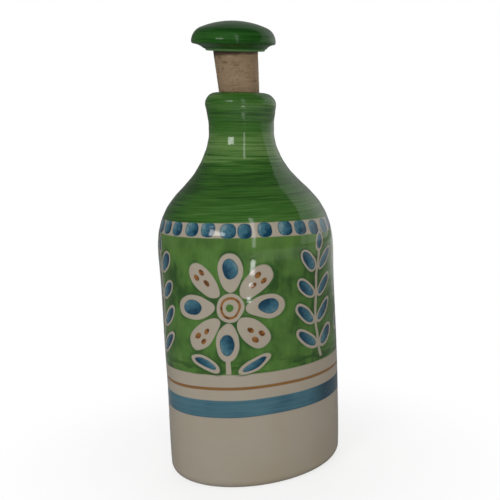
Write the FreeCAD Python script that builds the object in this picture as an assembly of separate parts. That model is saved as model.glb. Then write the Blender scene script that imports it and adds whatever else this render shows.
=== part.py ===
import FreeCAD, Part
import math
import os

# Hand-thrown ceramic bottle for oil or vinegar, with a tapered cork and a glazed knob.
# The body is thrown round and then squeezed, so the foot is oval and the shoulder and
# neck stay round. Its neck ends in a rolled lip that the cork wedges into, a little
# crooked, and the knob is glued over the cork's top.
#
# Frame: +Z up, origin at the middle of the foot on the table, +X along the oval's long
# axis, +Y along its short axis. All sizes in millimetres.

# Body: (height, radius) of the thrown wall, before it is squeezed.
THROWN_WALL = [
    (0.0, 43.7), (12.0, 44.1), (45.0, 44.3), (70.0, 44.5), (90.0, 44.6),
    (105.0, 44.9), (115.0, 45.1), (125.0, 43.8), (133.0, 40.65), (141.0, 34.8),
    (150.0, 26.15), (160.0, 19.7), (166.0, 17.4), (170.0, 16.6), (173.0, 16.45),
]
WALL_SECTIONS = 28         # level cuts that the wall is lofted through
SQUEEZE = 4.9              # long half-axis gains this, short half-axis loses it
SQUEEZE_FADES_FROM = 50.0  # full squeeze up to here ...
SQUEEZE_ENDS_AT = 126.0    # ... and a round wall from here up
FOOT_ROUND = 4.5           # rounding of the foot's outer edge
FOOT_ROUND_SECTIONS = 6
FOOT_RING_W = 6.0          # flat unglazed ring the bottle stands on
FOOT_RECESS = 1.6          # depth of the recess inside that ring
RECESS_SLOPE_W = 3.0       # width of the recess's sloping edge

# The wheel's middle wandered as the neck was closed in.
DRIFT = 3.1                # sideways shift of the neck from the middle of the foot
DRIFT_TOWARDS_DEG = 164.0
DRIFT_FROM_Z = 36.0
DRIFT_TO_Z = 134.0
LIP_SKEW_DEG = 2.9         # the lip is out of level, low on one side ...
LIP_LOW_TOWARDS_DEG = 317.0
LIP_SKEW_FROM_Z = 145.0    # ... which starts in the neck

# Neck and rolled lip, turned about the drifted axis.
NECK_R = THROWN_WALL[-1][1]
NECK_TOP_Z = THROWN_WALL[-1][0]
LIP_R = 17.85              # widest
LIP_Z = 185.85             # height of the widest point
LIP_BEAD_R = 5.8           # radius of the roll
LIP_CONE_DEG = 10.0        # flare under the roll
LIP_COVE_R = 15.0          # hollow between neck and flare

# Cork: a tapered plug, pushed in crooked.
CORK_MOUTH_R = 10.1        # radius where it leaves the mouth
CORK_TAPER_DEG = 2.9       # per side
CORK_IN_NECK = 13.5
CORK_SHOWING = 21.3
CORK_IN_KNOB = 4.5
CORK_CHAMFER = 0.5
CORK_LEAN_DEG = 4.1
CORK_LEAN_TOWARDS_DEG = 174.0
CORK_PIVOT_Z = 184.0       # where the leaning cork crosses the neck's axis
MOUTH_Z = 191.0

# Knob: flat underside, hollow moulding, thin brim and a flattened dome.
KNOB_BRIM_R = 21.1
KNOB_BRIM_Z = 4.4          # all knob heights are from its underside
KNOB_EDGE_R = 1.2
KNOB_EDGE_SWEEP_DEG = 76.0
KNOB_COLLAR_R = 14.9
KNOB_COLLAR_ROUND = 0.7
KNOB_COVE_SAG = 0.75
KNOB_SHOULDER_R = 7.6      # roundness above the brim; the crown above it is worked out
KNOB_H = 14.7
KNOB_LEAN_DEG = 7.0        # glued on crooked, nodding to one side of the cork
KNOB_LEAN_TOWARDS_DEG = 252.5
KNOB_SHIFT = 1.2           # glued off the cork's axis ...
KNOB_SHIFT_TOWARDS_DEG = 137.0


def vec(x, y, z):
    return FreeCAD.Vector(x, y, z)


def level(point):
    """The point's place seen from above."""
    return vec(point.x, point.y, 0)


def toward(angle_deg, length):
    """Level vector of the given length and compass angle."""
    angle = math.radians(angle_deg)
    return vec(length * math.cos(angle), length * math.sin(angle), 0)


def ease(value, start, end):
    """0 below start, 1 above end, with level ends."""
    t = min(max((value - start) / (end - start), 0.0), 1.0)
    return t * t * (3 - 2 * t)


def squeeze_at(z):
    return SQUEEZE * (1 - ease(z, SQUEEZE_FADES_FROM, SQUEEZE_ENDS_AT))


def centre_at(z):
    """Middle of the body's section at height z."""
    return vec(0, 0, z) + toward(DRIFT_TOWARDS_DEG, DRIFT * ease(z, DRIFT_FROM_Z, DRIFT_TO_Z))


def wall_curve():
    """Smooth curve through the thrown wall's stations, with its height as parameter."""
    curve = Part.BSplineCurve()
    points = [at(radius, z) for z, radius in THROWN_WALL]
    heights = [z for z, radius in THROWN_WALL]
    curve.interpolate(Points=points, Parameters=heights)
    return curve


def skewed(shape, z):
    """Drop one side and lift the other of a shape round the neck's axis at height z."""
    slope = math.tan(math.radians(LIP_SKEW_DEG)) * ease(z, LIP_SKEW_FROM_Z, NECK_TOP_Z)
    fall = toward(LIP_LOW_TOWARDS_DEG, -slope)
    matrix = FreeCAD.Matrix()
    matrix.A31 = fall.x
    matrix.A32 = fall.y
    matrix.A34 = -fall.dot(level(centre_at(z)))
    return shape.transformGeometry(matrix)


def oval(centre, long_half, short_half):
    edge = Part.Ellipse(centre, long_half, short_half).toShape()
    return Part.Wire([edge])


def turned_solid(profile):
    """Solid turned about the Z axis from a closed profile in the XZ plane."""
    return Part.Face(Part.Wire(profile)).revolve(vec(0, 0, 0), vec(0, 0, 1), 360)


def turned_skin(profile):
    """Open skin turned about the Z axis from a profile that ends on it."""
    return Part.Wire(profile).revolve(vec(0, 0, 0), vec(0, 0, 1), 360)


def solid_from_skins(skins):
    """Close skins that share their rims into one solid."""
    faces = [face for skin in skins for face in skin.Faces]
    closed = Part.Compound(faces)
    closed.sewShape()
    return Part.Solid(closed.Shells[0])


def at(radius, z):
    return vec(radius, 0, z)


def line(start, end):
    return Part.LineSegment(start, end).toShape()


def arc(centre, radius, from_deg, to_deg):
    """Arc in the XZ plane; angles from +X towards +Z."""
    points = []
    for share in (0.0, 0.5, 1.0):
        angle = math.radians(from_deg + share * (to_deg - from_deg))
        points.append(centre + vec(radius * math.cos(angle), 0, radius * math.sin(angle)))
    return Part.Arc(*points).toShape()


def first(edge):
    return edge.valueAt(edge.FirstParameter)


def last(edge):
    return edge.valueAt(edge.LastParameter)


def leaning(shape, pivot, lean_deg, towards_deg):
    """Tip an upright shape about a pivot, towards a compass angle."""
    shape.rotate(pivot, toward(towards_deg + 90, 1), lean_deg)
    return shape


def section(z, radius, inset):
    """Squeezed oval at height z, drawn in by an inset."""
    squeeze = squeeze_at(z)
    return oval(centre_at(z), radius + squeeze - inset, radius - squeeze - inset)


def wall():
    """Oval foot rising into a round shoulder and neck: a loft through level cuts."""
    curve = wall_curve()
    sections = []
    for step in range(WALL_SECTIONS + 1):
        z = FOOT_ROUND + (NECK_TOP_Z - FOOT_ROUND) * step / WALL_SECTIONS
        sections.append(skewed(section(z, curve.value(z).x, 0), z))
    return Part.makeLoft(sections, False, False)


def foot_edge():
    """Quarter-round edge between the wall and the flat under the foot."""
    radius = wall_curve().value(FOOT_ROUND).x
    sections = []
    for step in range(FOOT_ROUND_SECTIONS + 1):
        angle = math.pi / 2 * step / FOOT_ROUND_SECTIONS
        z = FOOT_ROUND * (1 - math.cos(angle))
        sections.append(section(z, radius, FOOT_ROUND * (1 - math.sin(angle))))
    return Part.makeLoft(sections, False, False)


def foot_face():
    radius = wall_curve().value(FOOT_ROUND).x
    return Part.Face(section(0, radius, FOOT_ROUND))


def foot_recess():
    """Shallow dish under the foot, with a sloping edge inside the standing ring."""
    radius = wall_curve().value(FOOT_ROUND).x
    inset = FOOT_ROUND + FOOT_RING_W
    mouth = section(0, radius, inset)
    ceiling = section(FOOT_RECESS, radius, inset + RECESS_SLOPE_W)
    return Part.makeLoft([mouth, ceiling], True, True)


def neck_and_lip():
    """Straight neck, hollow, flare and a rolled lip that turns over into the mouth; the
    top closes level, and the cork's socket is cut through it later."""
    cone = math.radians(LIP_CONE_DEG)
    bead_centre = at(LIP_R - LIP_BEAD_R, LIP_Z)
    bead_in = math.degrees(math.acos((CORK_MOUTH_R - 2 - bead_centre.x) / LIP_BEAD_R))
    bead = arc(bead_centre, LIP_BEAD_R, -LIP_CONE_DEG, bead_in)
    cove_top_r = NECK_R + LIP_COVE_R * (1 - math.cos(cone))
    cove_top_z = first(bead).z - (first(bead).x - cove_top_r) / math.tan(cone)
    cove_z = cove_top_z - LIP_COVE_R * math.sin(cone)
    cove = arc(at(NECK_R + LIP_COVE_R, cove_z), LIP_COVE_R, 180, 180 - LIP_CONE_DEG)
    profile = [
        line(at(NECK_R, NECK_TOP_Z), first(cove)), cove, line(last(cove), first(bead)),
        bead, line(last(bead), at(0, last(bead).z)),
    ]
    lip = turned_skin(profile)
    lip.translate(level(centre_at(NECK_TOP_Z)))
    return skewed(lip, NECK_TOP_Z)


def cork_radius(z):
    """Cork's radius at a height along its own axis, in line with the bottle's heights."""
    return CORK_MOUTH_R + (z - MOUTH_Z) * math.tan(math.radians(CORK_TAPER_DEG))


def cork():
    low = MOUTH_Z - CORK_IN_NECK
    high = MOUTH_Z + CORK_SHOWING + CORK_IN_KNOB
    length = high - low
    drifted = centre_at(CORK_PIVOT_Z)
    foot = vec(drifted.x, drifted.y, low)
    plug = Part.makeCone(cork_radius(low), cork_radius(high), length, foot)
    ends = [edge for edge in plug.Edges if edge.Curve.TypeId == "Part::GeomCircle"]
    plug = plug.makeChamfer(CORK_CHAMFER, ends)
    return leaning(plug, drifted, CORK_LEAN_DEG, CORK_LEAN_TOWARDS_DEG)


def knob_dome():
    """Shoulder arc rising from the brim, and the flatter crown arc that meets it tangent."""
    rise = KNOB_H - KNOB_BRIM_Z
    shoulder_centre = at(KNOB_BRIM_R - KNOB_SHOULDER_R, KNOB_BRIM_Z)
    span = shoulder_centre.x ** 2 + rise ** 2 - KNOB_SHOULDER_R ** 2
    crown_r = span / (2 * (rise - KNOB_SHOULDER_R))
    crown_centre = at(0, KNOB_H - crown_r)
    meet = shoulder_centre - crown_centre
    meet_deg = math.degrees(math.atan2(meet.z, meet.x))
    return [
        arc(shoulder_centre, KNOB_SHOULDER_R, 0, meet_deg),
        arc(crown_centre, crown_r, meet_deg, 90),
    ]


def knob_underside():
    """Hollow moulding from the collar's corner out to the thin rounded brim."""
    edge_centre = at(KNOB_BRIM_R - KNOB_EDGE_R, KNOB_BRIM_Z)
    brim = arc(edge_centre, KNOB_EDGE_R, -KNOB_EDGE_SWEEP_DEG, 0)
    corner = at(KNOB_COLLAR_R, 0)
    across = first(brim) - corner
    inward = vec(-across.z, 0, across.x).normalize()
    middle = corner + across * 0.5 + inward * KNOB_COVE_SAG
    return [Part.Arc(corner, middle, first(brim)).toShape(), brim]


def knob():
    axis = line(at(0, KNOB_H), at(0, 0))
    underside = line(at(0, 0), at(KNOB_COLLAR_R, 0))
    profile = [underside] + knob_underside() + knob_dome() + [axis]
    turned = turned_solid(profile)
    collar = [edge for edge in turned.Edges if edge.BoundBox.ZMax < 0.01 and edge.Length > 10]
    turned = turned.makeFillet(KNOB_COLLAR_ROUND, collar)
    leaning(turned, vec(0, 0, 0), KNOB_LEAN_DEG, KNOB_LEAN_TOWARDS_DEG)
    seat_z = MOUTH_Z + CORK_SHOWING
    cork_offset = (seat_z - CORK_PIVOT_Z) * math.tan(math.radians(CORK_LEAN_DEG))
    turned.translate(centre_at(CORK_PIVOT_Z) + vec(0, 0, seat_z - CORK_PIVOT_Z))
    turned.translate(toward(CORK_LEAN_TOWARDS_DEG, cork_offset))
    turned.translate(toward(KNOB_SHIFT_TOWARDS_DEG, KNOB_SHIFT))
    return turned


def bottle():
    solid = solid_from_skins([foot_face(), foot_edge(), wall(), neck_and_lip()])
    return solid.cut(foot_recess())


def build():
    plug = cork()
    return {
        "bottle_body": bottle().cut(plug),
        "cork_stopper": plug,
        "stopper_knob": knob().cut(plug),
    }


os.makedirs("parts", exist_ok=True)
for node, shape in build().items():
    shape.Solids[0].exportStep("parts/" + node + ".step")
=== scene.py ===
import math
import random

import bpy
from mathutils import Matrix, Vector


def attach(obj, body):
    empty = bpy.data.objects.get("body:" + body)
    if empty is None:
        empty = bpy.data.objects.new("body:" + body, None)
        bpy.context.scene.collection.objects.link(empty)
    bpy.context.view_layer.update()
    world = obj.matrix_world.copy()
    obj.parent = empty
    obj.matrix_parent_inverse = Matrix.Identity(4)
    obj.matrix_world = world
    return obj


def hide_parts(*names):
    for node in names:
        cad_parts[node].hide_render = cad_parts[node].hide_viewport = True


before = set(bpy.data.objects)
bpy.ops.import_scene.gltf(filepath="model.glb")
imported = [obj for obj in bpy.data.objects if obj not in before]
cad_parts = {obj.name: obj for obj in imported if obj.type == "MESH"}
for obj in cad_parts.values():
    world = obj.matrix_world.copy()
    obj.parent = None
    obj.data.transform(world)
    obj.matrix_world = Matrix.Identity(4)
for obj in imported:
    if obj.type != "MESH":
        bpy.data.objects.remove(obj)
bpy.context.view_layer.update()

# The bottle is worked out in millimetres, in the CAD frame, and becomes metres as it
# reaches Blender. The camera, the lamps and the floor are in metres throughout.
MM = 0.001


# ---------------------------------------------------------------- camera

CAMERA_AT = Vector((-0.2923, -0.3150, 0.1715))
CAMERA_HEADING = math.radians(42.82)     # clockwise from +Y
CAMERA_PITCH = math.radians(7.96)        # downwards
CAMERA_ROLL = math.radians(1.78)
CAMERA_LENS = 60.2

AHEAD = Vector((math.sin(CAMERA_HEADING), math.cos(CAMERA_HEADING), 0))
ASIDE = Vector((math.cos(CAMERA_HEADING), -math.sin(CAMERA_HEADING), 0))
UP = Vector((0, 0, 1))


def oriented(obj, place, right, up, back):
    turn = Matrix((right, up, back)).transposed().to_4x4()
    obj.matrix_world = Matrix.Translation(place) @ turn


def make_camera():
    data = bpy.data.cameras.new("camera")
    data.sensor_width = 36
    data.lens = CAMERA_LENS
    data.clip_start = 0.01
    camera = bpy.data.objects.new("camera", data)
    bpy.context.scene.collection.objects.link(camera)
    forward = AHEAD * math.cos(CAMERA_PITCH) - UP * math.sin(CAMERA_PITCH)
    level_up = ASIDE.cross(forward)
    right = ASIDE * math.cos(CAMERA_ROLL) - level_up * math.sin(CAMERA_ROLL)
    up = ASIDE * math.sin(CAMERA_ROLL) + level_up * math.cos(CAMERA_ROLL)
    oriented(camera, CAMERA_AT, right, up, -forward)
    bpy.context.scene.camera = camera


make_camera()


# ---------------------------------------------------------------- node helpers

def linear(red, green, blue):
    """Linear colour with alpha from 0-255 sRGB values."""
    def channel(value):
        share = value / 255
        return share / 12.92 if share <= 0.04045 else ((share + 0.055) / 1.055) ** 2.4
    return (channel(red), channel(green), channel(blue), 1.0)


class Term:
    """A number in a node tree that takes part in ordinary arithmetic."""

    def __init__(self, tree, socket):
        self.tree = tree
        self.socket = socket

    def math(self, operation, *others):
        node = self.tree.nodes.new("ShaderNodeMath")
        node.operation = operation
        for slot, value in enumerate((self,) + others):
            plug(self.tree, value, node.inputs[slot])
        return Term(self.tree, node.outputs[0])

    def __add__(self, other):
        return self.math("ADD", other)

    def __sub__(self, other):
        return self.math("SUBTRACT", other)

    def __mul__(self, other):
        return self.math("MULTIPLY", other)

    def __truediv__(self, other):
        return self.math("DIVIDE", other)

    def __rsub__(self, other):
        return self * -1 + other

    def size(self):
        return self.math("ABSOLUTE")

    def whole(self):
        return self.math("FLOOR")

    def rest(self):
        return self.math("FRACT")

    def at_most(self, other):
        return self.math("MINIMUM", other)

    def at_least(self, other):
        return self.math("MAXIMUM", other)

    def fade(self, start, end):
        """0 up to start, 1 from end on; start may be the greater."""
        node = self.tree.nodes.new("ShaderNodeMapRange")
        node.interpolation_type = "SMOOTHSTEP"
        low, high = min(start, end), max(start, end)
        plug(self.tree, self, node.inputs["Value"])
        node.inputs["From Min"].default_value = low
        node.inputs["From Max"].default_value = high
        node.inputs["To Min"].default_value = 0.0 if start < end else 1.0
        node.inputs["To Max"].default_value = 1.0 if start < end else 0.0
        return Term(self.tree, node.outputs["Result"])

    def within(self, low, high, edge):
        """1 between low and high, 0 outside, with soft edges."""
        middle = (low + high) / 2
        half = (high - low) / 2
        return (self - middle).size().fade(half + edge / 2, half - edge / 2)


def plug(tree, value, socket):
    """Give a socket a Term, another socket or a constant."""
    if isinstance(value, Term):
        tree.links.new(value.socket, socket)
    elif isinstance(value, bpy.types.NodeSocket):
        tree.links.new(value, socket)
    else:
        socket.default_value = value


def length_of(x, y):
    return (x * x + y * y).math("SQRT")


def mixed_colour(tree, first, second, share):
    """The first colour at a share of 0, the second at 1."""
    node = tree.nodes.new("ShaderNodeMix")
    node.data_type = "RGBA"
    plug(tree, share, node.inputs[0])
    plug(tree, first, node.inputs[6])
    plug(tree, second, node.inputs[7])
    return node.outputs[2]


class Coat:
    """A material being painted in layers from the bottom up."""

    def __init__(self, name, ground):
        self.material = bpy.data.materials.new(name)
        self.material.use_nodes = True
        self.tree = self.material.node_tree
        self.shader = self.tree.nodes["Principled BSDF"]
        self.colour = ground
        self.place = self.wall_place()

    def wall_place(self):
        """Object place in millimetres, but with the chart's way up the wall as its height."""
        place = self.tree.nodes.new("ShaderNodeTexCoord")
        parts = self.tree.nodes.new("ShaderNodeSeparateXYZ")
        plug(self.tree, place.outputs["Object"], parts.inputs[0])
        whole = self.tree.nodes.new("ShaderNodeCombineXYZ")
        plug(self.tree, Term(self.tree, parts.outputs[0]) / MM, whole.inputs[0])
        plug(self.tree, Term(self.tree, parts.outputs[1]) / MM, whole.inputs[1])
        plug(self.tree, self.chart()[1], whole.inputs[2])
        return whole.outputs[0]

    def spread(self, across, tall, shift):
        """Position with a unit of so many millimetres across and up the wall."""
        node = self.tree.nodes.new("ShaderNodeMapping")
        node.inputs["Scale"].default_value = (1 / across, 1 / across, 1 / tall)
        node.inputs["Location"].default_value = (shift, shift * 0.7, shift * 1.3)
        plug(self.tree, self.place, node.inputs["Vector"])
        return node.outputs[0]

    def noise(self, across, tall, detail, shift, rough=0.5):
        """Noise around 0.5 with blots of the given width and height in millimetres."""
        node = self.tree.nodes.new("ShaderNodeTexNoise")
        plug(self.tree, self.spread(across, tall, shift), node.inputs["Vector"])
        node.inputs["Scale"].default_value = 1.0
        node.inputs["Detail"].default_value = detail
        node.inputs["Roughness"].default_value = rough
        return Term(self.tree, node.outputs[0])

    def chance(self, number, shift):
        """A random share that stays the same for a whole number."""
        node = self.tree.nodes.new("ShaderNodeTexWhiteNoise")
        node.noise_dimensions = "1D"
        plug(self.tree, number + shift, node.inputs["W"])
        return Term(self.tree, node.outputs["Value"])

    def attribute(self, name):
        node = self.tree.nodes.new("ShaderNodeAttribute")
        node.attribute_name = name
        return Term(self.tree, node.outputs["Fac"])

    def chart(self):
        """Round-the-bottle and up-the-wall position in millimetres."""
        uv = self.tree.nodes.new("ShaderNodeUVMap")
        uv.uv_map = "paint"
        parts = self.tree.nodes.new("ShaderNodeSeparateXYZ")
        plug(self.tree, uv.outputs[0], parts.inputs[0])
        return Term(self.tree, parts.outputs[0]), Term(self.tree, parts.outputs[1])

    def mixed(self, first, second, share):
        return mixed_colour(self.tree, first, second, share)

    def lay(self, colour, share):
        """Lay a colour over what is there, as thickly as the share says."""
        self.colour = self.mixed(self.colour, colour, share)

    def finish(self, roughness, height, depth, ior=1.45):
        """Wire up the shader; a height of 1 stands proud by the depth in millimetres."""
        plug(self.tree, self.colour, self.shader.inputs["Base Color"])
        self.shader.inputs["IOR"].default_value = ior
        plug(self.tree, roughness, self.shader.inputs["Roughness"])
        bump = self.tree.nodes.new("ShaderNodeBump")
        bump.inputs["Strength"].default_value = 1.0
        bump.inputs["Distance"].default_value = depth * MM
        plug(self.tree, height, bump.inputs["Height"])
        plug(self.tree, bump.outputs[0], self.shader.inputs["Normal"])
        return self.material


# ---------------------------------------------------------------- meshes

def grid_piece(name, rows, chart, node, material, attributes=()):
    """Closed smooth piece from rings of equal length, with a hub vertex at both ends.

    The chart gives each point's place in the painting from its share of a turn and its ring.
    """
    count = len(rows[0])
    points = [point * MM for row in rows for point in row]
    hubs = []
    for row in (rows[0], rows[-1]):
        hubs.append(len(points))
        points.append(sum(row, Vector()) / count * MM)
    faces, charts = [], []
    for level in range(len(rows) - 1):
        for step in range(count):
            after = (step + 1) % count
            low, high = level * count, (level + 1) * count
            faces.append((low + step, low + after, high + after, high + step))
            charts.append(((step, level), (step + 1, level), (step + 1, level + 1), (step, level + 1)))
    last = len(rows) - 1
    for step in range(count):
        after = (step + 1) % count
        faces.append((hubs[0], after, step))
        charts.append(((step + 0.5, 0), (step + 1, 0), (step, 0)))
        faces.append((hubs[1], last * count + step, last * count + after))
        charts.append(((step + 0.5, last), (step, last), (step + 1, last)))
    mesh = bpy.data.meshes.new(name)
    mesh.from_pydata(points, [], faces)
    layer = mesh.uv_layers.new(name="paint")
    flat = [value for face in charts for step, level in face for value in chart(step / count, level)]
    layer.data.foreach_set("uv", flat)
    for label, values in attributes:
        spread = mesh.attributes.new(label, "FLOAT", "POINT")
        spread.data.foreach_set("value", list(values) + [0.0, 0.0])
    mesh.polygons.foreach_set("use_smooth", [True] * len(mesh.polygons))
    mesh.materials.append(material)
    mesh.update()
    piece = bpy.data.objects.new(name, mesh)
    bpy.context.scene.collection.objects.link(piece)
    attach(piece, "root")
    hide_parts(node)
    return piece


def level_vector(degrees, length=1.0):
    angle = math.radians(degrees)
    return Vector((length * math.cos(angle), length * math.sin(angle), 0))


def ease(value, start, end):
    """0 below start, 1 above end, with level ends."""
    t = min(max((value - start) / (end - start), 0.0), 1.0)
    return t * t * (3 - 2 * t)


def between(start, end, count):
    """Evenly spaced values, both ends included."""
    return [start + (end - start) * step / (count - 1) for step in range(count)]


def smooth_curve(stations):
    """Cubic curve through (height, radius) stations, straight at both ends."""
    zs = [z for z, radius in stations]
    rs = [radius for z, radius in stations]
    count = len(zs)
    upper, right, bend = [0.0] * count, [0.0] * count, [0.0] * count
    for i in range(1, count - 1):
        before, after = zs[i] - zs[i - 1], zs[i + 1] - zs[i]
        jump = 6 * ((rs[i + 1] - rs[i]) / after - (rs[i] - rs[i - 1]) / before)
        pivot = 2 * (before + after) - before * upper[i - 1]
        upper[i] = after / pivot
        right[i] = (jump - before * right[i - 1]) / pivot
    for i in range(count - 2, 0, -1):
        bend[i] = right[i] - upper[i] * bend[i + 1]

    def radius_at(z):
        i = 0
        while i < count - 2 and zs[i + 1] <= z:
            i += 1
        span = zs[i + 1] - zs[i]
        b = (z - zs[i]) / span
        a = 1 - b
        curved = (a ** 3 - a) * bend[i] + (b ** 3 - b) * bend[i + 1]
        return a * rs[i] + b * rs[i + 1] + curved * span * span / 6
    return radius_at


# ---------------------------------------------------------------- forms

# Sizes of the solids, repeated from the part's source.
THROWN_WALL = [
    (0.0, 43.7), (12.0, 44.1), (45.0, 44.3), (70.0, 44.5), (90.0, 44.6),
    (105.0, 44.9), (115.0, 45.1), (125.0, 43.8), (133.0, 40.65), (141.0, 34.8),
    (150.0, 26.15), (160.0, 19.7), (166.0, 17.4), (170.0, 16.6), (173.0, 16.45),
]
SQUEEZE = 4.9              # the long half-axis gains this, the short one loses it
SQUEEZE_FADES_FROM = 50
SQUEEZE_ENDS_AT = 126
FOOT_ROUND = 4.5
FOOT_RING_W = 6.0
FOOT_RECESS = 1.6
RECESS_SLOPE_W = 3.0
DRIFT = level_vector(164, 3.1)          # how far the neck stands off the foot's middle
DRIFT_FROM = 36
DRIFT_DONE = 134
LIP_SKEW = math.tan(math.radians(2.9))
LIP_LOW = level_vector(317)             # the lip falls this way
SKEW_FROM = 145
NECK_R = 16.45
NECK_TOP_Z = 173.0
LIP_R = 17.85
LIP_Z = 185.85
LIP_BEAD_R = 5.8
LIP_CONE = math.radians(10)
CORK_TOWARDS = 174                      # compass angle of its lean
CORK_LEAN = math.radians(4.1)
CORK_PIVOT_Z = 184.0
CORK_MOUTH_R = 10.1
CORK_TAPER = math.tan(math.radians(2.9))
MOUTH_Z = 191.0
CORK_LOW_Z = MOUTH_Z - 13.5
KNOB_SEAT_Z = MOUTH_Z + 21.3
CORK_HIGH_Z = KNOB_SEAT_Z + 4.5
KNOB_TOWARDS = 252.5                    # compass angle of its lean
KNOB_LEAN = math.radians(7.0)
KNOB_SHIFT = level_vector(137, 1.2)
KNOB_BRIM_R = 21.1
KNOB_BRIM_Z = 4.4
KNOB_EDGE_R = 1.2
KNOB_EDGE_SWEEP = math.radians(76)
KNOB_COLLAR_R = 14.9
KNOB_COLLAR_ROUND = 0.7
KNOB_COVE_SAG = 0.75
KNOB_SHOULDER_R = 7.6
KNOB_H = 14.69

# Shapes that differ from the solids.
LIP_COVE_R = 40.0          # the solid's hollow under the lip is tighter
KNOB_COLLAR_DRIFT = 1.05   # the solid's collar is centred

# Play that keeps neighbours from touching, and the spacing of the thrower's rings.
MOUTH_GAP = 0.35
KNOB_GAP = 0.06
RING_STEP = 6.3
FINE_RING_STEP = 2.9

# Widths of the charts that the painting is laid out on.
GIRTH = 280.5              # round the body at the painted panel
CORK_GIRTH = 66
KNOB_GIRTH = 130

# Chart heights of the underside and the mouth's inside, beyond the painted wall.
CHART_RECESS = -20
CHART_RECESS_SLOPE = -16
CHART_RING_EDGE = -12
CHART_RING = -10
CHART_NECK_INSIDE = 204
CHART_KNOB_SEAT_TOP = -6
CHART_KNOB_SEAT_WALL = -2

BOTTLE_AROUND = 256
CORK_AROUND = 192
KNOB_AROUND = 224

CORK_PITS = 64
CORK_MID_R = 10.6          # about its radius halfway up, for the width of the pits

wall_radius = smooth_curve(THROWN_WALL)


def centre_at(z):
    return DRIFT * ease(z, DRIFT_FROM, DRIFT_DONE)


def thrown(radius, z, turn, inset=0.0, press=0.0):
    """Point of the body at a share of a turn, squeezed oval, drifted and skewed."""
    angle = 2 * math.pi * turn
    squeeze = SQUEEZE * (1 - ease(z, SQUEEZE_FADES_FROM, SQUEEZE_ENDS_AT))
    x = (radius + squeeze - inset - press) * math.cos(angle)
    y = (radius - squeeze - inset - press) * math.sin(angle)
    fall = LIP_SKEW * ease(z, SKEW_FROM, NECK_TOP_Z) * (x * LIP_LOW.x + y * LIP_LOW.y)
    return centre_at(z) + Vector((x, y, z - fall))


def hand_wobble(z, turn):
    """How far the thrower's fingers pressed the wall in, and out again above the shoulder."""
    angle = 2 * math.pi * turn
    rings = 0.5 + 0.5 * math.sin(z * 2 * math.pi / RING_STEP + 1.1 * math.sin(angle) + 0.9)
    finer = 0.5 + 0.5 * math.sin(z * 2 * math.pi / FINE_RING_STEP - 0.8 * math.cos(2 * angle))
    dents = math.sin(3 * angle + z / 17) * math.sin(z / 11 + 1.3) + math.sin(5 * angle - z / 23)
    above_foot = ease(z, 6, 30)
    strength = above_foot * (0.35 + 0.65 * ease(z, 112, 135))
    press = 0.02 + strength * (0.11 * rings + 0.05 * finer) + 0.03 * (2 + dents) * above_foot
    return press - 0.22 * ease(z, 128, 140)


def pressed(radius, z, turn):
    """Point of the body with the thrower's marks in it."""
    return thrown(radius, z, turn, 0, hand_wobble(z, turn))


def tipped(pivot, lean, towards):
    """Placement that tips an upright shape about a pivot, towards a compass angle."""
    axis = level_vector(towards + 90)
    there = Matrix.Translation(pivot)
    return there @ Matrix.Rotation(lean, 4, axis) @ Matrix.Translation(-pivot)


CORK_PIVOT = centre_at(CORK_PIVOT_Z) + UP * CORK_PIVOT_Z
CORK_PLACE = tipped(CORK_PIVOT, CORK_LEAN, CORK_TOWARDS)
CORK_BACK = CORK_PLACE.inverted()


def cork_radius(z):
    return CORK_MOUTH_R + (z - MOUTH_Z) * CORK_TAPER


def on_cork(angle, z, gap=0.0):
    """Point beside the cork at a height along its own axis."""
    radius = cork_radius(z) + gap
    across = Vector((radius * math.cos(angle), radius * math.sin(angle), z))
    return CORK_PLACE @ (across + centre_at(CORK_PIVOT_Z))


def from_cork(point):
    """Angle about the cork's axis, distance from it and height along it."""
    local = CORK_BACK @ point - centre_at(CORK_PIVOT_Z)
    return math.atan2(local.y, local.x), math.hypot(local.x, local.y), local.z


def arc_points(centre_r, centre_z, radius, start, end, count):
    """(radius, height) points along an arc; angles from outward towards up."""
    points = []
    for angle in between(start, end, count):
        points.append((centre_r + radius * math.cos(angle), centre_z + radius * math.sin(angle)))
    return points


def foot_profile():
    """(inset, height, chart height) from under the bottle's middle out to the foot's edge."""
    ceiling = FOOT_ROUND + FOOT_RING_W + RECESS_SLOPE_W
    recess_insets = (36, 30, 24, 18, ceiling + 1.0, ceiling + 0.3)
    profile = [(inset, FOOT_RECESS, CHART_RECESS) for inset in recess_insets]
    profile.append((ceiling - 0.25, FOOT_RECESS - 0.1, CHART_RECESS))
    profile.append((ceiling - 1.5, FOOT_RECESS / 2, CHART_RECESS_SLOPE))
    profile.append((FOOT_ROUND + FOOT_RING_W + 0.2, 0.1, CHART_RING_EDGE))
    profile += [(inset, 0.0, CHART_RING) for inset in (10.2, 8.5, 6.5, 5.0)]
    for angle in between(0, math.pi / 2, 9)[:-1]:
        z = FOOT_ROUND * (1 - math.cos(angle))
        profile.append((FOOT_ROUND * (1 - math.sin(angle)) + 0.02, z, z))
    return profile


def under_lip_profile():
    """(radius, height) from the neck's top through the hollow up to the lip's roll."""
    cove_r = NECK_R + LIP_COVE_R * (1 - math.cos(LIP_CONE))
    roll_r = LIP_R - LIP_BEAD_R + LIP_BEAD_R * math.cos(LIP_CONE)
    roll_z = LIP_Z - LIP_BEAD_R * math.sin(LIP_CONE)
    cove_top_z = roll_z - (roll_r - cove_r) / math.tan(LIP_CONE)
    cove_z = cove_top_z - LIP_COVE_R * math.sin(LIP_CONE)
    profile = [(NECK_R, z) for z in between(NECK_TOP_Z, cove_z, 4)[:-1]]
    profile += arc_points(
        NECK_R + LIP_COVE_R, cove_z, LIP_COVE_R, math.pi, math.pi - LIP_CONE, 7)
    for share in between(0, 1, 7)[1:-1]:
        profile.append((cove_r + (roll_r - cove_r) * share, cove_top_z + (roll_z - cove_top_z) * share))
    return profile


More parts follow.
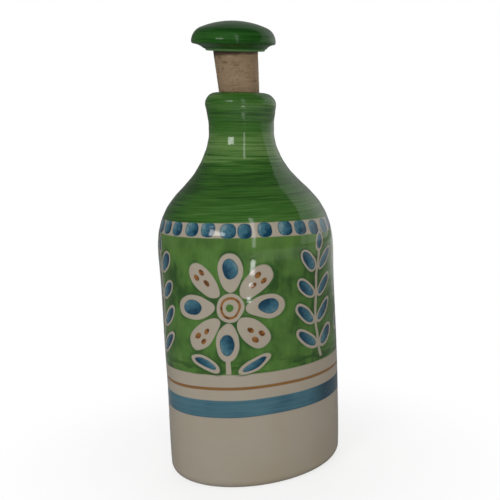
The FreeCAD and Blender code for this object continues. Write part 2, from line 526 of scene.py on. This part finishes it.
def lip_point(turn, angle):
    """Point of the lip's roll; angles from outward towards up."""
    radius = LIP_R - LIP_BEAD_R + LIP_BEAD_R * math.cos(angle)
    return pressed(radius, LIP_Z + LIP_BEAD_R * math.sin(angle), turn)


def roll_end(turn):
    """Angle at which the lip's roll meets the cork, found by halving."""
    low, high = math.radians(70), math.radians(140)
    for halving in range(24):
        middle = (low + high) / 2
        angle, distance, height = from_cork(lip_point(turn, middle))
        if distance > cork_radius(height) + MOUTH_GAP:
            low = middle
        else:
            high = middle
    return low


def make_bottle(material):
    rows, heights = [], []
    turns = [step / BOTTLE_AROUND for step in range(BOTTLE_AROUND)]

    def add(row, height):
        rows.append(row)
        heights.append(height)

    foot_r = wall_radius(FOOT_ROUND)
    for inset, z, height in foot_profile():
        add([thrown(foot_r, 0, turn, inset) + UP * z for turn in turns], height)
    for z in between(FOOT_ROUND, NECK_TOP_Z, 157)[:-1]:
        add([pressed(wall_radius(z), z, turn) for turn in turns], z)
    for radius, z in under_lip_profile():
        add([pressed(radius, z, turn) for turn in turns], z)

    # The roll is followed round on every side until it meets the cork, and then down it.
    ends = [roll_end(turn) for turn in turns]
    usual_end = 1.85       # radians, so that each ring has one height on the chart
    for share in between(0, 0.985, 24):
        row = [lip_point(turn, -LIP_CONE + (end + LIP_CONE) * share) for turn, end in zip(turns, ends)]
        add(row, LIP_Z + LIP_BEAD_R * math.sin(-LIP_CONE + (usual_end + LIP_CONE) * share))
    corks = [from_cork(lip_point(turn, end)) for turn, end in zip(turns, ends)]
    for depth, gap in ((0.35, MOUTH_GAP - 0.03), (1.0, 0.22), (2.5, 0.12), (6.0, 0.06), (10.5, 0.05)):
        add([on_cork(angle, height - depth, gap) for angle, distance, height in corks], MOUTH_Z + depth)
    add([on_cork(angle, CORK_LOW_Z - 0.05, 0.05) for angle, distance, height in corks], CHART_NECK_INSIDE)

    return grid_piece(
        "bottle_glazed", rows, lambda share, level: (share * GIRTH, heights[level]),
        "bottle_body", material)


def cork_pits():
    """(angle, height, radius, stretch, depth) of the pits in the cork's side."""
    rng = random.Random(11)
    pits = []
    for number in range(CORK_PITS):
        pits.append((
            rng.uniform(0, 2 * math.pi), rng.uniform(MOUTH_Z - 2, KNOB_SEAT_Z + 1),
            rng.uniform(0.3, 1.0) ** 2 * 0.55, rng.uniform(1.2, 4.0), rng.uniform(0.12, 0.4)))
    return pits


def pit_at(pits, angle, z):
    """How deep the cork is pitted at a place, and how dark."""
    depth, dark = 0.0, 0.0
    for pit_angle, pit_z, radius, stretch, pit_depth in pits:
        aside = (angle - pit_angle + math.pi) % (2 * math.pi) - math.pi
        far = math.hypot(aside * CORK_MID_R / stretch, z - pit_z) / radius
        if far < 1.3:
            depth = max(depth, (1 - ease(far, 0.45, 1.1)) * pit_depth)
            dark = max(dark, 1 - ease(far, 0.6, 1.3))
    return depth, dark


def make_cork(material):
    """Tapered plug with pits and grain pressed into its side."""
    angles = [2 * math.pi * step / CORK_AROUND for step in range(CORK_AROUND)]
    pits = cork_pits()
    rows, shade, heights = [], [], []

    def add_flat(z, insets):
        for inset in insets:
            rows.append([on_cork(angle, z, inset) for angle in angles])
            heights.append(z)
            shade.extend([0.0] * CORK_AROUND)

    side = [(-0.5, CORK_LOW_Z), (-0.25, CORK_LOW_Z + 0.25)]
    side += [(0.0, z) for z in between(CORK_LOW_Z + 0.5, CORK_HIGH_Z - 0.5, 104)]
    side += [(-0.25, CORK_HIGH_Z - 0.25), (-0.5, CORK_HIGH_Z)]
    add_flat(CORK_LOW_Z, (-8, -4, -1.2))
    for inset, z in side:
        row = []
        for angle in angles:
            depth, dark = pit_at(pits, angle, z)
            grain = 0.03 * (1 + math.sin(7 * angle + z * 1.9) * math.sin(3 * angle - z * 0.7))
            row.append(on_cork(angle, z, inset - depth - grain))
            shade.append(dark)
        rows.append(row)
        heights.append(z)
    add_flat(CORK_HIGH_Z, (-1.2, -4, -8))
    return grid_piece(
        "cork_plug", rows, lambda share, level: (share * CORK_GIRTH, heights[level]),
        "cork_stopper", material, [("pit", shade)])


def knob_profile():
    """(radius, height) from beside the cork, under and round the brim, to near the top."""
    corner = Vector((KNOB_COLLAR_R, 0))
    edge_r = KNOB_BRIM_R - KNOB_EDGE_R
    brim_start = Vector((
        edge_r + KNOB_EDGE_R * math.cos(KNOB_EDGE_SWEEP),
        KNOB_BRIM_Z - KNOB_EDGE_R * math.sin(KNOB_EDGE_SWEEP)))
    across = brim_start - corner
    inward = Vector((-across.y, across.x)).normalized()

    def cove(share):
        sag = KNOB_COVE_SAG * (1 - (2 * share - 1) ** 2)
        return corner + across * share + inward * sag

    points = [(r, 0.0) for r in (12.6, 13.3, 13.9)]
    points += arc_points(
        KNOB_COLLAR_R - KNOB_COLLAR_ROUND, KNOB_COLLAR_ROUND, KNOB_COLLAR_ROUND,
        -math.pi / 2, math.radians(10), 6)
    points += [tuple(cove(share)) for share in between(0.22, 1.0, 12)]
    points += arc_points(edge_r, KNOB_BRIM_Z, KNOB_EDGE_R, -KNOB_EDGE_SWEEP, 0, 9)[1:]
    rise = KNOB_H - KNOB_BRIM_Z
    shoulder_r = KNOB_BRIM_R - KNOB_SHOULDER_R
    crown_r = (shoulder_r ** 2 + rise ** 2 - KNOB_SHOULDER_R ** 2) / (2 * (rise - KNOB_SHOULDER_R))
    crown_z = KNOB_H - crown_r
    meet = math.atan2(KNOB_BRIM_Z - crown_z, shoulder_r)
    points += arc_points(shoulder_r, KNOB_BRIM_Z, KNOB_SHOULDER_R, 0, meet, 14)[1:]
    points += arc_points(0, crown_z, crown_r, meet, math.pi / 2, 36)[1:-1]
    return points


def knob_place():
    seat = centre_at(CORK_PIVOT_Z) + UP * KNOB_SEAT_Z
    seat += level_vector(CORK_TOWARDS, (KNOB_SEAT_Z - CORK_PIVOT_Z) * math.tan(CORK_LEAN))
    return Matrix.Translation(seat + KNOB_SHIFT) @ tipped(
        Vector((0, 0, 0)), KNOB_LEAN, KNOB_TOWARDS)


def make_knob(material):
    place = knob_place()
    angles = [2 * math.pi * step / KNOB_AROUND for step in range(KNOB_AROUND)]
    down = -(place.to_3x3() @ UP)
    base = place @ Vector((0, 0, 0))
    rows, heights = [], []

    def turned(radius, z, angle):
        drift = ASIDE * KNOB_COLLAR_DRIFT * (1 - ease(z, 0, KNOB_BRIM_Z))
        return place @ Vector((
            radius * math.cos(angle) + drift.x, radius * math.sin(angle) + drift.y, z))

    # The cork's seat in the underside: where each line up the cork's side enters the knob.
    entries = []
    for angle in angles:
        first = on_cork(angle, KNOB_SEAT_Z, KNOB_GAP)
        rise = on_cork(angle, KNOB_SEAT_Z + 1, KNOB_GAP) - first
        entries.append(KNOB_SEAT_Z - (first - base).dot(down) / rise.dot(down))
    for inset in (-9, -5, -1.5, 0):
        rows.append([on_cork(angle, CORK_HIGH_Z + 0.04, KNOB_GAP + inset) for angle in angles])
        heights.append(CHART_KNOB_SEAT_TOP)
    for share in between(1, 0, 6)[1:]:
        row = []
        for angle, entry in zip(angles, entries):
            row.append(on_cork(angle, entry + (CORK_HIGH_Z - entry) * share, KNOB_GAP))
        rows.append(row)
        heights.append(CHART_KNOB_SEAT_WALL)

    # From there the chart's height is the way walked along the profile.
    walked, before = 0.0, knob_profile()[0]
    for radius, z in knob_profile():
        rows.append([turned(radius, z, angle) for angle in angles])
        walked += math.hypot(radius - before[0], z - before[1])
        before = (radius, z)
        heights.append(walked)
    return grid_piece(
        "knob_glazed", rows, lambda share, level: (share * KNOB_GIRTH, heights[level]),
        "stopper_knob", material)


# ---------------------------------------------------------------- materials

CREAM = linear(147, 139, 125)
CREAM_WARM = linear(140, 128, 108)
CREAM_GREY = linear(144, 139, 127)
GREEN = linear(65, 100, 41)
GREEN_DARK = linear(28, 60, 18)
GREEN_LIGHT = linear(86, 118, 58)
GREEN_LINE = linear(38, 70, 30)
SWEPT_DEEP = linear(26, 60, 14)
SWEPT = linear(44, 84, 26)
SWEPT_THIN = linear(84, 114, 60)
MOUTH_SHADE = linear(24, 40, 18)
BLUE_DARK = linear(5, 47, 67)
BLUE = linear(50, 90, 104)
BLUE_PALE = linear(96, 122, 126)
BAND = linear(64, 99, 110)
BAND_DEEP = linear(44, 79, 94)
BAND_THICK = linear(8, 46, 62)
BROWN = linear(124, 84, 42)
BROWN_DARK = linear(84, 48, 18)
BROWN_THIN = linear(116, 83, 46)
CLAY = linear(168, 148, 122)

# The painting's layout on the wall, in millimetres round and up. Pairs are a stripe's two
# edges, or the start and end of the height over which a colour comes in.
BARE_CLAY = (-13.5, 0.55)
BLUE_BAND = (36.65, 45.1)
BROWN_LINE = (50.15, 51.6)
PANEL_FOOT = (57.5, 58.2)
PANEL_HEAD = (123.8, 123.1)
SWEPT_FOOT = (129.9, 130.5)
MOUTH_SHADE_FROM = (191.2, 191.6)
UNIT = GIRTH / 2           # the panel's motifs are painted twice round the bottle
FLOWER_U = 170.0
FLOWER_V = 90.5
PETALS = 8
SPRAY_ASIDE = 46.75        # from the flower's middle to a spray's stem
SPRAY_TIP = 28.0           # from the flower's middle up to the spray's top leaf
LEAF_STEP = 13.2           # between leaves up a spray
BEAD_STEP = 17             # between beads up the dotted column
COLUMN_END = (26, 25)
DABS = 29
DAB_GAP = GIRTH / DABS
DAB_U = 149.0
DAB_V = 126.9
DAB_HALF_WIDE = 3.8
DAB_HALF_TALL = 3.42


def oval(x, y, half_wide, half_tall):
    """Below 1 inside an oval round the origin."""
    wide = x / half_wide
    tall = y / half_tall
    return wide * wide + tall * tall


def turned_pair(x, y, degrees):
    """The same place measured along and across a direction."""
    c, s = math.cos(math.radians(degrees)), math.sin(math.radians(degrees))
    return x * c + y * s, y * c - x * s


def repeated(place, step):
    """Distance from the middle of the nearest of a row of equal steps."""
    return ((place / step + 0.5).rest() - 0.5) * step


def loaded_blue(coat, tone, form, pale, dark, rim_from):
    """Blue of a full brush: pale where it landed, dark where the tone is high and at the rim."""
    blue = coat.mixed(BLUE_PALE, BLUE, tone.fade(*pale))
    return coat.mixed(blue, BLUE_DARK, tone.fade(*dark).at_least(form.fade(rim_from, 1.0) * 0.6))


def lay_dab(coat, x, y, half_wide, half_tall, grit, where=None):
    """One loaded brush dab, darker to its right."""
    form = oval(x, y, half_wide, half_tall)
    cover = form.fade(1.12, 0.88)
    if where is not None:
        cover = cover * where
    tone = x * (0.50 / half_wide) - y * (0.35 / half_tall) + grit * 0.9 - 0.45
    coat.lay(loaded_blue(coat, tone, form, (-0.80, -0.25), (-0.35, 0.50), 0.55), cover)


def slanted(u, v):
    """Height on the dab border, which runs lower on one side, as bands turned by hand do."""
    return v + (u.fade(180, 235) + u.fade(90, 30)) * 1.1


def lay_panel_ground(coat, u, v, blots, strokes, ragged):
    """Streaked green, deeper in blots and here and there along the foot, paler near the top."""
    ground = coat.mixed(GREEN, GREEN_LIGHT, strokes.fade(0.42, 0.72) * 0.65)
    deep = (blots * 0.75 + strokes * 0.25).fade(0.41, 0.62) * 0.9
    ground = coat.mixed(ground, GREEN_DARK, deep)
    pooled = (v + ragged * 1.5).fade(67, 60) * coat.noise(13, 2.6, 2.0, 21.0).fade(0.44, 0.60) * 0.8
    ground = coat.mixed(ground, GREEN_DARK, pooled)
    ground = coat.mixed(ground, GREEN_LIGHT, v.fade(106, 122) * 0.35)
    above_foot = (v + ragged * 0.25).fade(*PANEL_FOOT)
    coat.lay(ground, above_foot * (slanted(u, v) + ragged * 0.25).fade(*PANEL_HEAD))


def lay_flower(coat, u, x, y, blots, ragged, grit):
    """Petals round a ringed eye, dabbed blue and spotted brown by turns.

    Returns how strongly the dark line round each motif shows.
    """
    out = length_of(x, y)
    share = (y.math("ARCTAN2", x) / (2 * math.pi) + 0.5 / PETALS).rest() * PETALS
    number = share.whole()
    turn = (share.rest() - 0.5) * (2 * math.pi / PETALS)
    luck = coat.chance(number + (u / UNIT).whole() * (PETALS + 1), 0.5)
    along = out * turn.math("COSINE") * (luck * 0.10 + 0.95)
    across = out * turn.math("SINE") + (luck - 0.5) * 0.9
    petal = oval(along - 17.3, across / (along * 0.018 + 0.70), 9.8, 5.5)
    edging = blots.fade(0.36, 0.58) * 0.75 + 0.1
    coat.lay(GREEN_LINE, petal.fade(1.5, 1.2) * edging)
    coat.lay(coat.mixed(CREAM, CREAM_WARM, grit.fade(0.55, 0.8) * 0.4), petal.fade(1.08, 0.94))
    odd = (number / 2 + 0.25).rest().fade(0.45, 0.55)
    lay_dab(coat, across, along - 19.0, 3.5, 5.3, grit, 1 - odd)
    lower_spot = oval(along - 15.6, across, 1.7, 1.15)
    spots = lower_spot.at_most(oval(along - 20.8, across.size() - 2.1, 1.8, 1.25))
    coat.lay(coat.mixed(BROWN, BROWN_DARK, grit.fade(0.4, 0.6)), spots.fade(1.25, 0.85) * odd)
    coat.lay(CREAM, out.fade(7.0, 6.6))
    wobbly = out + ragged * 0.5
    coat.lay(coat.mixed(BROWN, BROWN_DARK, grit.fade(0.45, 0.65)), wobbly.within(3.9, 5.1, 0.35))
    coat.lay(GREEN, oval(x + 0.3, y, 1.9, 1.7).fade(1.2, 0.8))
    return edging


def lay_foot_leaves(coat, aside, y, v, edging, grit):
    """Two leaves and a stalk at the flower's foot."""
    leaf_x, leaf_y = turned_pair(aside - 12.3, y + 27.6, 25)
    leaf = oval(leaf_x, leaf_y, 8.6, 3.1)
    stalk = aside.fade(1.3, 1.0) * y.fade(-25.0, -26.0) * v.fade(57.8, 58.4)
    coat.lay(GREEN_LINE, leaf.fade(1.7, 1.25) * edging)
    coat.lay(CREAM, leaf.fade(1.1, 0.92).at_least(stalk))
    lay_dab(coat, leaf_x, leaf_y, 6.4, 1.8, grit)


def lay_spray(coat, aside, y, edging, grit):
    """Curved stem with pairs of leaves that get smaller upwards, and one at its tip."""
    spray = aside - SPRAY_ASIDE - y * y * 0.004 + 1.2
    rung = y / LEAF_STEP + 2.02
    step = rung.whole()
    taper = 1.08 - step * 0.06
    spray_side = spray.size()
    leaf_x, leaf_y = turned_pair(spray_side - 6.8, (rung.rest() - 0.5) * LEAF_STEP, 40)
    on_rungs = rung.fade(-0.02, 0.0) * rung.fade(4.0, 3.98)
    leaf = oval(leaf_x, leaf_y, 7.5, 3.6) / taper
    tip = oval(spray, y - SPRAY_TIP, 3.2, 5.0)
    stem = spray_side.fade(1.0, 0.7) * y.fade(-31.0, -30.0) * y.fade(26.0, 25.0)
    leaves = (leaf + (1 - on_rungs) * 9).at_most(tip)
    coat.lay(GREEN_LINE, leaves.fade(1.6, 1.25) * edging)
    coat.lay(CREAM, leaves.fade(1.1, 0.92).at_least(stem))
    lay_dab(coat, leaf_x, leaf_y, 6.1, 2.5, grit, on_rungs)
    lay_dab(coat, spray, y - SPRAY_TIP, 2.1, 3.8, grit)


def lay_dotted_column(coat, aside, y, grit):
    """Beads one above the other, midway between two flowers."""
    mid = UNIT / 2 - aside
    bead_v = repeated(y, BEAD_STEP)
    bead = oval(mid, bead_v, 4.0, 4.4) + (1 - y.size().fade(*COLUMN_END)) * 9
    coat.lay(CREAM, bead.fade(1.1, 0.92))
    lay_dab(coat, mid, bead_v, 2.4, 2.7, grit, y.size().fade(*COLUMN_END))


def lay_panel(coat, u, v):
    """Green ground with a flower, leaves and sprays on it; returns its two fine noises."""
    blots = coat.noise(15, 17, 3.0, 3.1)
    strokes = coat.noise(2.3, 15, 2.0, 7.7)
    ragged = (coat.noise(5, 5, 2.0, 1.4) - 0.5) * 1.5
    lay_panel_ground(coat, u, v, blots, strokes, ragged)

    drift_u = (coat.noise(16, 16, 1.0, 4.4) - 0.5) * 3.2
    drift_v = (coat.noise(16, 16, 1.0, 9.2) - 0.5) * 3.2
    x = repeated(u - FLOWER_U, UNIT) + drift_u + ragged * 0.3
    y = v - FLOWER_V + drift_v
    grit = coat.noise(2.2, 2.2, 2.0, 5.5)
    aside = x.size()
    edging = lay_flower(coat, u, x, y, blots, ragged, grit)
    lay_foot_leaves(coat, aside, y, v, edging, grit)
    lay_spray(coat, aside, y, edging, grit)
    lay_dotted_column(coat, aside, y, grit)
    return ragged, grit


def lay_dab_border(coat, u, v, ragged, grit):
    """Row of squarish blue dabs on a bare band."""
    cell = (u - DAB_U) / DAB_GAP + 0.5
    number = cell.whole()
    luck = coat.chance(number, 0.3)
    x = (cell.rest() - 0.5) * DAB_GAP + (luck - 0.5) * 1.5 + ragged * 0.25
    y = slanted(u, v) - DAB_V + (coat.chance(number, 40.3) - 0.5) * 0.9 + ragged * 0.2
    x = x * (luck * 0.14 + 0.93)
    wide = (x / DAB_HALF_WIDE).size().math("POWER", 2.6)
    form = wide + (y / DAB_HALF_TALL).size().math("POWER", 2.6)
    tone = x * 0.17 - y * 0.10 + grit * 1.6 - 0.8 + (luck - 0.5) * 0.3
    blue = loaded_blue(coat, tone, form, (-0.75, -0.15), (-0.15, 0.60), 0.45)
    coat.lay(blue, form.fade(1.12, 0.88))


def lay_swept_green(coat, u, v, ragged):
    """Green turned on with a wide brush: level streaks over the shoulder, neck and lip."""
    wide = coat.noise(60, 5.2, 1.0, 2.3)
    streak = coat.noise(34, 1.25, 3.0, 6.1, 0.6)
    hair = coat.noise(22, 0.42, 1.0, 8.8)
    swept = v + (streak - 0.5) * 16
    thin = swept.fade(156, 160) * (swept + wide * 4).fade(181, 168) * 0.30
    thin = thin + v.fade(144, 132) * 0.12
    thin = thin + v.within(184.5, 193, 4) * 0.08 - v.within(152, 157.5, 3) * 0.04
    tone = wide * 0.20 + streak * 0.90 + hair * 0.55 + thin + 0.08
    tone = tone - u.within(84, 140, 24) * v.fade(160, 148) * 0.16
    green = coat.mixed(SWEPT_DEEP, SWEPT, tone.fade(0.72, 0.98))
    green = coat.mixed(green, SWEPT_THIN, tone.fade(0.95, 1.36))
    coat.lay(green, (slanted(u, v) + ragged * 0.35).fade(*SWEPT_FOOT))
    # Painted shade: near-black green where the lip's roll turns in to the cork, and on down the mouth.
    coat.lay(MOUTH_SHADE, v.fade(*MOUTH_SHADE_FROM) * 0.8)


def lay_stripes(coat, u, v, cloud):
    """Brown line and blue band, turned on the wheel."""
    level = v + (coat.noise(40, 40, 1.0, 5.9) - 0.5) * 1.2
    fine = coat.noise(18, 0.9, 2.0, 3.3)
    brown = coat.mixed(BROWN_THIN, BROWN_DARK, fine.fade(0.5, 0.75) * 0.4)
    coat.lay(brown, level.within(*BROWN_LINE, 0.5))
    cover = level.within(*BLUE_BAND, 0.5)
    blue = coat.mixed(BAND, BAND_DEEP, (fine * 0.4 + cloud * 0.6).fade(0.40, 0.68))
    blue = coat.mixed(blue, BLUE_DARK, level.fade(37.6, 36.6) * 0.45)
    blue = coat.mixed(blue, BAND_THICK, u.within(216, 254, 16) * 0.8)
    coat.lay(blue, cover)


def painted_glaze():
    coat = Coat("painted_glaze_hand_brushed", CREAM)
    u, v = coat.chart()
    cloud = coat.noise(26, 34, 2.0, 1.9)
    coat.lay(CREAM_WARM, cloud.fade(0.42, 0.72) * 0.40)
    coat.lay(CREAM_GREY, coat.noise(4, 7, 2.0, 12.0).fade(0.5, 0.75) * 0.35)
    ragged, grit = lay_panel(coat, u, v)
    lay_dab_border(coat, u, v, ragged, grit)
    lay_stripes(coat, u, v, cloud)
    lay_swept_green(coat, u, v, ragged)
    coat.lay(CLAY, v.within(*BARE_CLAY, 0.3))

    ripple = coat.noise(9, 9, 1.0, 14.0) * 0.7 + coat.noise(20, 0.9, 1.0, 3.0) * 0.10
    bare = v.within(*BARE_CLAY, 0.3)
    roughness = bare * 0.6 + (cloud * 0.06 + 0.05) + v.fade(170, 180) * 0.13
    return coat.finish(roughness, ripple, 0.13)


def cork_bark():
    coat = Coat("cork_bark", linear(126, 107, 83))
    blots = coat.noise(3.5, 2.2, 3.0, 2.0)
    grains = coat.noise(0.8, 0.6, 3.0, 5.0, 0.65)
    cracks = coat.noise(6.5, 0.75, 2.0, 9.0)
    coat.lay(linear(110, 90, 67), blots.fade(0.45, 0.7) * 0.6)
    coat.lay(linear(144, 125, 100), grains.fade(0.52, 0.72) * 0.35)
    coat.lay(linear(95, 76, 54), grains.fade(0.46, 0.30) * 0.45)
    coat.lay(linear(90, 70, 48), cracks.fade(0.60, 0.70) * 0.55)
    coat.lay(linear(147, 128, 103), cracks.fade(0.40, 0.30) * 0.45)
    pit = coat.attribute("pit")
    coat.lay(linear(78, 57, 38), pit * 0.55)
    # Painted light and shade: a paler side, painted as if a lamp lit it, and a painted shadow darkening
    # the top edge under the knob.
    u, v = coat.chart()
    coat.lay(linear(158, 137, 112), (u + blots * 3).within(54.5, 64, 5) * 0.5)
    coat.lay(linear(52, 40, 26), (v + blots * 1.5).fade(209.9, 211.9) * 0.85)
    height = grains * 0.7 + blots * 0.3
    return coat.finish(0.86, height, 0.35)


def green_glaze():
    coat = Coat("green_glaze_brushed", linear(22, 63, 15))
    wide = coat.noise(30, 3.4, 1.0, 2.3)
    streak = coat.noise(22, 0.9, 3.0, 6.1, 0.6)
    tone = wide * 0.8 + streak * 0.9
    coat.lay(linear(12, 48, 8), tone.fade(0.86, 0.66) * 0.8)
    coat.lay(linear(40, 80, 30), tone.fade(0.86, 1.10) * 0.7)
    # Painted light: paler in the hollow under the brim, and palest on the collar, standing in for light
    # bounced up from below.
    v = coat.chart()[1]
    coat.lay(linear(40, 84, 32), v.fade(9.5, 6.5) * 0.5)
    coat.lay(linear(84, 118, 70), v.within(1.2, 3.4, 1.2) * 0.65)
    ripple = coat.noise(7, 7, 1.0, 14.0) * 0.8 + streak * 0.12
    roughness = wide * 0.06 + 0.12 + v.fade(10.5, 8.5) * 0.25
    return coat.finish(roughness, ripple, 0.14, ior=1.3)


make_bottle(painted_glaze())
make_cork(cork_bark())
make_knob(green_glaze())


# ---------------------------------------------------------------- studio

LAMPS_AIM_Z = 0.11
FLOOR_REACH = 4.0
FLOOR_SEEN = (0.95, 0.95, 0.95, 1)
FLOOR_GREY = 0.75          # to rays other than the camera's
FLOOR_DARKER = 0.45        # taken off that in reflections
FLOOR_LIT = 0.5            # and given back in them far off on the right
WORLD_GREY = 0.36          # the even light on the bottle
WORLD_DARKER = 0.2         # taken off that in reflections


def studio_direction(azimuth, elevation):
    """Direction from the bottle; azimuth 0 is towards the camera, + is to its right."""
    turn, rise = math.radians(azimuth), math.radians(elevation)
    flat = -AHEAD * math.cos(turn) + ASIDE * math.sin(turn)
    return flat * math.cos(rise) + UP * math.sin(rise)


def softbox(name, azimuth, elevation, distance, width, height, level,
            colour=(1.0, 1.0, 1.0), glossy=True, diffuse=True):
    """Soft panel facing the bottle; its level is the light it adds on a facing surface."""
    data = bpy.data.lights.new(name, "AREA")
    data.shape = "RECTANGLE"
    data.size = width
    data.size_y = height
    data.energy = level * math.pi ** 2 * distance ** 2
    data.color = colour
    lamp = bpy.data.objects.new(name, data)
    bpy.context.scene.collection.objects.link(lamp)
    out = studio_direction(azimuth, elevation)
    right = UP.cross(out).normalized()
    oriented(lamp, out * distance + UP * LAMPS_AIM_Z, right, out.cross(right), out)
    lamp.visible_camera = False
    lamp.visible_glossy = glossy
    lamp.visible_diffuse = diffuse


def vector_math(tree, operation, vector, other=None):
    """Length of a vector, or its part along another."""
    node = tree.nodes.new("ShaderNodeVectorMath")
    node.operation = operation
    plug(tree, vector, node.inputs[0])
    if other is not None:
        node.inputs[1].default_value = other
    return Term(tree, node.outputs["Value"])


def floor_white(tree):
    """Floor that the camera sees as white round the bottle's shadow.

    In reflections it is darker, except far off on the right.
    """
    rays = tree.nodes.new("ShaderNodeLightPath")
    seen = Term(tree, rays.outputs["Is Camera Ray"])
    diffuse = tree.nodes.new("ShaderNodeBsdfDiffuse")
    place = tree.nodes.new("ShaderNodeTexCoord").outputs["Object"]
    far = vector_math(tree, "LENGTH", place)
    aside = vector_math(tree, "DOT_PRODUCT", place, ASIDE)
    lit = far.fade(0.38, 0.62) * aside.fade(0.10, 0.35) * FLOOR_LIT
    grey = Term(tree, rays.outputs["Is Glossy Ray"]) * (lit - FLOOR_DARKER) + FLOOR_GREY
    plug(tree, mixed_colour(tree, grey, FLOOR_SEEN, seen), diffuse.inputs[0])
    white = tree.nodes.new("ShaderNodeEmission")
    white.inputs["Strength"].default_value = 1.0
    mix = tree.nodes.new("ShaderNodeMixShader")
    plug(tree, seen * (far.fade(0.05, 0.16) * 0.25 + 0.75), mix.inputs[0])
    plug(tree, diffuse.outputs[0], mix.inputs[1])
    plug(tree, white.outputs[0], mix.inputs[2])
    plug(tree, mix.outputs[0], tree.nodes["Material Output"].inputs["Surface"])


def make_floor():
    mesh = bpy.data.meshes.new("studio_floor")
    corners = []
    for x, y in ((-1, -1), (1, -1), (1, 1), (-1, 1)):
        corners.append((x * FLOOR_REACH, y * FLOOR_REACH, 0))
    mesh.from_pydata(corners, [], [(0, 1, 2, 3)])
    floor = bpy.data.objects.new("studio_floor", mesh)
    bpy.context.scene.collection.objects.link(floor)
    material = bpy.data.materials.new("studio_floor_white")
    material.use_nodes = True
    material.node_tree.nodes.remove(material.node_tree.nodes["Principled BSDF"])
    floor_white(material.node_tree)
    mesh.materials.append(material)


def make_world():
    """White to the camera, even soft light on the bottle, and darker in reflections.

    Reflections see white only behind the bottle, above all to its right. The room on the
    camera's side is dim in them, which keeps the dark glaze from greying over.
    """
    world = bpy.data.worlds.new("studio")
    bpy.context.scene.world = world
    world.use_nodes = True
    tree = world.node_tree
    background = tree.nodes["Background"]
    rays = tree.nodes.new("ShaderNodeLightPath")
    place = tree.nodes.new("ShaderNodeTexCoord").outputs["Generated"]

    def side(direction):
        return vector_math(tree, "DOT_PRODUCT", place, direction)

    behind = side(ASIDE * 0.262 + AHEAD * 0.845 - UP * 0.464).fade(0.0, 0.05)
    not_left = side(ASIDE + UP * 0.35).fade(-0.16, -0.04)
    brighter_right = side(ASIDE).fade(0.2, 0.8) * 0.78 + 0.14
    is_glossy = Term(tree, rays.outputs["Is Glossy Ray"])
    white_in_gloss = is_glossy * behind * not_left * brighter_right
    seen = Term(tree, rays.outputs["Is Camera Ray"]).at_least(rays.outputs["Is Transmission Ray"])
    grey = is_glossy * -WORLD_DARKER + WORLD_GREY
    shade = mixed_colour(tree, grey, (1, 1, 1, 1), seen.at_least(white_in_gloss))
    plug(tree, shade, background.inputs["Color"])
    background.inputs["Strength"].default_value = 1.0


make_floor()
make_world()
softbox("key_left", -36.5, 23, 1.2, 0.42, 0.13, 0.11)
softbox("key_fill", -36.5, 23, 1.2, 0.42, 0.30, 0.13, glossy=False)
softbox("strip_front", 11, 27, 1.2, 0.10, 1.00, 0.085)
softbox("top_fill", -10, 50, 1.2, 0.9, 0.9, 0.12, glossy=False)
softbox("front_fill", -14, 9, 1.2, 0.9, 0.7, 0.34, glossy=False)
softbox("back_fill", 178, 28, 1.4, 1.2, 0.9, 0.36, glossy=False)
softbox("right_fill", 70, 10, 1.2, 0.6, 0.6, 0.16, colour=(1.0, 0.93, 0.84), glossy=False)
softbox("low_card", 9, -12, 0.37, 0.03, 0.05, 0.045, diffuse=False)

bpy.context.scene.view_settings.view_transform = "Standard"
